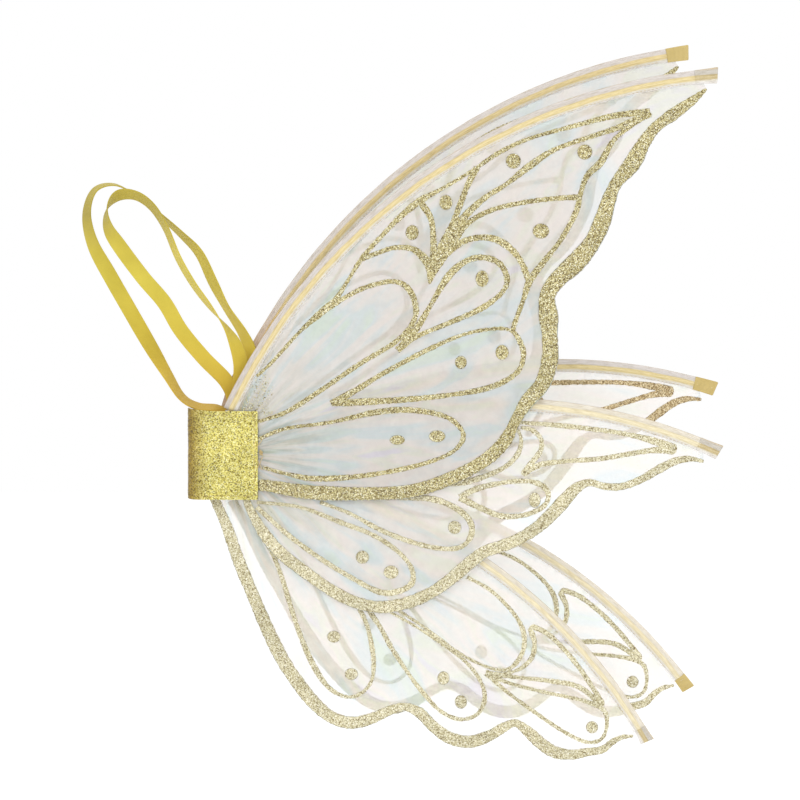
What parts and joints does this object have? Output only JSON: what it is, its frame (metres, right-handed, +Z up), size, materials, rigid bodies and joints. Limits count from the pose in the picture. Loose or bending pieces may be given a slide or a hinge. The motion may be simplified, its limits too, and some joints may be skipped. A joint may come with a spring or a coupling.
{
  "type": "fairy wings",
  "caption": "Fold-flat costume fairy wings: iridescent film lobes on springy rods, gathered into a glitter fabric wrap with elastic arm loops.",
  "frame": {"origin": "centre of the inner face of the spine webbing, which lies against the wearer's back", "axes": "+X the wearer's forward, the way the folded wings point; +Y the wearer's left; +Z up"},
  "size_m": [0.5148, 0.0734, 0.5738],
  "materials": {
    "film": "thin translucent iridescent film with printed glitter veins",
    "ribbon": "sheer cream ribbon casing",
    "rod": "springy glass-fibre rod",
    "tip_tape": "satin golden tape",
    "glitter": "printed gold glitter",
    "glitter_fabric": "coarse gold glitter on woven backing",
    "lining": "plain woven lining",
    "webbing": "grosgrain webbing",
    "thread": "polyester thread",
    "elastic": "flat braided elastic"
  },
  "bodies": {
    "root": {"spine_panel": "glitter_fabric", "spine_webbing": "webbing", "right_arm_strap": "elastic", "left_arm_strap": "elastic"},
    "right_wing": {"right_wrap_panel": "glitter_fabric", "right_lining": "lining", "right_strap_ends": "elastic", "right_root_binding": "webbing", "right_root_tacks": "thread"},
    "right_upper_lobe": {"right_upper_film": "film", "right_upper_casing": "ribbon", "right_upper_rod": "rod", "right_upper_tip": "tip_tape"},
    "right_middle_lobe": {"right_middle_film": "film", "right_middle_casing": "ribbon", "right_middle_rod": "rod", "right_middle_tip": "tip_tape"},
    "right_lower_lobe": {"right_lower_film": "film", "right_lower_casing": "ribbon", "right_lower_rod": "rod", "right_lower_tip": "tip_tape"},
    "left_wing": {"left_wrap_panel": "glitter_fabric", "left_lining": "lining", "left_strap_ends": "elastic", "left_root_binding": "webbing", "left_root_tacks": "thread"},
    "left_upper_lobe": {"left_upper_film": "film", "left_upper_casing": "ribbon", "left_upper_rod": "rod", "left_upper_tip": "tip_tape"},
    "left_middle_lobe": {"left_middle_film": "film", "left_middle_casing": "ribbon", "left_middle_rod": "rod", "left_middle_tip": "tip_tape"},
    "left_lower_lobe": {"left_lower_film": "film", "left_lower_casing": "ribbon", "left_lower_rod": "rod", "left_lower_tip": "tip_tape"}
  },
  "joints": [
    {"name": "right_wing_fold", "type": "hinge", "parent": "root", "child": "right_wing", "pos_m": [0.00043, -0.01257, 0], "axis": [0, 0, -1], "range_deg": [0, 100]},
    {"name": "right_upper_fan", "type": "hinge", "parent": "right_wing", "child": "right_upper_lobe", "pos_m": [0.03603, -0.0115, 0.016], "axis": [-0.0611, -0.9981, 0], "range_deg": [-3, 8]},
    {"name": "right_middle_fan", "type": "hinge", "parent": "right_wing", "child": "right_middle_lobe", "pos_m": [0.03802, -0.00896, -0.022], "axis": [-0.0523, -0.9986, 0], "range_deg": [-3, 8]},
    {"name": "right_lower_fan", "type": "hinge", "parent": "right_wing", "child": "right_lower_lobe", "pos_m": [0.03002, -0.00595, -0.028], "axis": [-0.0436, -0.999, 0], "range_deg": [-3, 8]},
    {"name": "left_wing_fold", "type": "hinge", "parent": "root", "child": "left_wing", "pos_m": [0.00043, 0.01257, 0], "axis": [0, 0, 1], "range_deg": [0, 100]},
    {"name": "left_upper_fan", "type": "hinge", "parent": "left_wing", "child": "left_upper_lobe", "pos_m": [0.03529, 0.01146, 0.01647], "axis": [0.0611, -0.9981, 0], "range_deg": [-8, 3]},
    {"name": "left_middle_fan", "type": "hinge", "parent": "left_wing", "child": "left_middle_lobe", "pos_m": [0.04528, 0.00934, -0.0205], "axis": [0.0523, -0.9986, 0], "range_deg": [-8, 3]},
    {"name": "left_lower_fan", "type": "hinge", "parent": "left_wing", "child": "left_lower_lobe", "pos_m": [0.04384, 0.00656, -0.03053], "axis": [0.0436, -0.999, 0], "range_deg": [-8, 3]}
  ]
}
